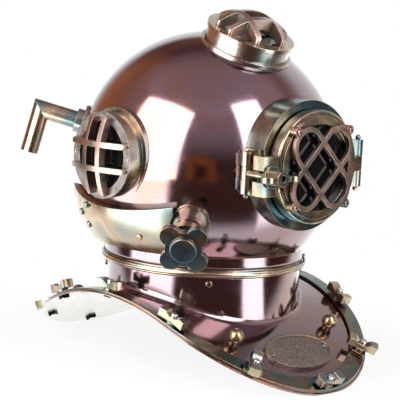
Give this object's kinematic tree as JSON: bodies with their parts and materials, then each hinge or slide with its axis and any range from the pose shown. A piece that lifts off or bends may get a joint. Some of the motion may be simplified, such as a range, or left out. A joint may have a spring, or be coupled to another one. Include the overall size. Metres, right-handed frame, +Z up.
{
  "type": "diving helmet",
  "caption": "Copper and brass standard diving helmet with domed bonnet, guarded ports, hinged front door, exhaust valve, goosenecks and a strapped oval breastplate.",
  "frame": {"origin": "centre of the footprint at the level of the breastplate's lowest front and rear edges, on the neck axis", "axes": "+Z up along the neck axis, -Y towards the front door, +X towards the wearer's left"},
  "size_m": [0.3814, 0.4628, 0.4357],
  "materials": {
    "aged_copper": "antique lacquered spun copper",
    "strap_copper": "antique lacquered copper strap",
    "bright_brass": "polished cast brass",
    "heat_tinted_brass": "antiqued cast brass",
    "guard_bronze": "antiqued cast bronze",
    "silvered_plate": "turned nickel-plated plate",
    "stud_steel": "bright turned steel",
    "blackened_steel": "blackened steel",
    "dark_glass": "thick plate glass",
    "gasket_leather": "greased leather",
    "seal_rubber": "moulded rubber"
  },
  "bodies": {
    "breastplate": {"breastplate_shell": "aged_copper", "breastplate_neck_ring": "bright_brass", "neck_gasket": "gasket_leather", "collar_screws": "bright_brass", "front_strap": "strap_copper", "rear_strap": "strap_copper", "right_strap": "strap_copper", "left_strap": "strap_copper", "rim_studs": "stud_steel", "rim_stud_nuts": "blackened_steel", "ball_knobs": "bright_brass", "oval_plate": "bright_brass", "oval_plate_screws": "bright_brass"},
    "bonnet": {"bonnet_shell": "aged_copper", "bonnet_neck_ring": "bright_brass", "band_screws": "bright_brass", "front_port_barrel": "heat_tinted_brass", "door_gasket": "seal_rubber", "latch_bracket": "heat_tinted_brass", "latch_pin": "heat_tinted_brass", "hinge_pin": "heat_tinted_brass", "right_port_ring": "bright_brass", "right_port_glass": "dark_glass", "right_port_plate": "silvered_plate", "right_port_guard": "guard_bronze", "left_port_ring": "bright_brass", "left_port_glass": "dark_glass", "left_port_plate": "silvered_plate", "left_port_guard": "guard_bronze", "top_port_ring": "bright_brass", "top_port_glass": "dark_glass", "top_port_plate": "bright_brass", "top_port_guard": "guard_bronze", "port_screws": "silvered_plate", "exhaust_channel": "heat_tinted_brass", "exhaust_channel_screws": "bright_brass", "exhaust_valve_body": "heat_tinted_brass", "left_gooseneck": "heat_tinted_brass", "right_gooseneck": "heat_tinted_brass", "left_gooseneck_flange": "bright_brass", "right_gooseneck_flange": "bright_brass"},
    "door": {"door_frame": "heat_tinted_brass", "door_glass": "dark_glass", "door_guard": "guard_bronze", "door_guard_screws": "heat_tinted_brass"},
    "latch_bolt": {"swing_bolt": "heat_tinted_brass"},
    "latch_nut": {"latch_wing_nut": "heat_tinted_brass"},
    "handwheel": {"exhaust_handwheel": "heat_tinted_brass"},
    "nut_front": {"wing_nut_front": "heat_tinted_brass"},
    "nut_front_left": {"wing_nut_front_left": "heat_tinted_brass"},
    "nut_fore_left": {"wing_nut_fore_left": "heat_tinted_brass"},
    "nut_left": {"wing_nut_left": "heat_tinted_brass"},
    "nut_aft_left": {"wing_nut_aft_left": "heat_tinted_brass"},
    "nut_rear_left": {"wing_nut_rear_left": "heat_tinted_brass"},
    "nut_rear": {"wing_nut_rear": "heat_tinted_brass"},
    "nut_front_right": {"wing_nut_front_right": "heat_tinted_brass"},
    "nut_fore_right": {"wing_nut_fore_right": "heat_tinted_brass"},
    "nut_right": {"wing_nut_right": "heat_tinted_brass"},
    "nut_aft_right": {"wing_nut_aft_right": "heat_tinted_brass"},
    "nut_rear_right": {"wing_nut_rear_right": "heat_tinted_brass"}
  },
  "joints": [
    {"name": "bonnet_turn", "type": "hinge", "parent": "breastplate", "child": "bonnet", "pos_m": [0, 0, 0.122], "axis": [0, 0, 1], "range_deg": [0, 45]},
    {"name": "door_hinge", "type": "hinge", "parent": "bonnet", "child": "door", "pos_m": [0.084, -0.169, 0.26], "axis": [0, 0, 1], "range_deg": [0, 100]},
    {"name": "latch_bolt_swing", "type": "hinge", "parent": "bonnet", "child": "latch_bolt", "pos_m": [-0.084, -0.152, 0.254], "axis": [0, 0, -1], "range_deg": [0, 100]},
    {"name": "latch_nut_spin", "type": "hinge", "parent": "latch_bolt", "child": "latch_nut", "pos_m": [-0.084, -0.19, 0.254], "axis": [0, -1, 0], "continuous": true},
    {"name": "handwheel_turn", "type": "hinge", "parent": "bonnet", "child": "handwheel", "pos_m": [-0.15621, -0.13107, 0.17178], "axis": [-0.7198, -0.604, -0.342], "range_deg": [0, 900]},
    {"name": "nut_front_spin", "type": "hinge", "parent": "breastplate", "child": "nut_front", "pos_m": [0, -0.21812, 0.00995], "axis": [0, -0.5728, 0.8197], "continuous": true},
    {"name": "nut_front_left_spin", "type": "hinge", "parent": "breastplate", "child": "nut_front_left", "pos_m": [0.09157, -0.18522, 0.03148], "axis": [0, -0.5216, 0.8532], "continuous": true},
    {"name": "nut_fore_left_spin", "type": "hinge", "parent": "breastplate", "child": "nut_fore_left", "pos_m": [0.1418, -0.10046, 0.07501], "axis": [0, -0.3896, 0.921], "continuous": true},
    {"name": "nut_left_spin", "type": "hinge", "parent": "breastplate", "child": "nut_left", "pos_m": [0.1514, 0, 0.09665], "axis": [0, 0, 1], "continuous": true},
    {"name": "nut_aft_left_spin", "type": "hinge", "parent": "breastplate", "child": "nut_aft_left", "pos_m": [0.1418, 0.10046, 0.07501], "axis": [0, 0.3896, 0.921], "continuous": true},
    {"name": "nut_rear_left_spin", "type": "hinge", "parent": "breastplate", "child": "nut_rear_left", "pos_m": [0.09157, 0.18522, 0.03148], "axis": [0, 0.5216, 0.8532], "continuous": true},
    {"name": "nut_rear_spin", "type": "hinge", "parent": "breastplate", "child": "nut_rear", "pos_m": [0, 0.21812, 0.00995], "axis": [0, 0.5728, 0.8197], "continuous": true},
    {"name": "nut_front_right_spin", "type": "hinge", "parent": "breastplate", "child": "nut_front_right", "pos_m": [-0.09157, -0.18522, 0.03148], "axis": [0, -0.5216, 0.8532], "continuous": true},
    {"name": "nut_fore_right_spin", "type": "hinge", "parent": "breastplate", "child": "nut_fore_right", "pos_m": [-0.1418, -0.10046, 0.07501], "axis": [0, -0.3896, 0.921], "continuous": true},
    {"name": "nut_right_spin", "type": "hinge", "parent": "breastplate", "child": "nut_right", "pos_m": [-0.1514, 0, 0.09665], "axis": [0, 0, 1], "continuous": true},
    {"name": "nut_aft_right_spin", "type": "hinge", "parent": "breastplate", "child": "nut_aft_right", "pos_m": [-0.1418, 0.10046, 0.07501], "axis": [0, 0.3896, 0.921], "continuous": true},
    {"name": "nut_rear_right_spin", "type": "hinge", "parent": "breastplate", "child": "nut_rear_right", "pos_m": [-0.09157, 0.18522, 0.03148], "axis": [0, 0.5216, 0.8532], "continuous": true}
  ]
}
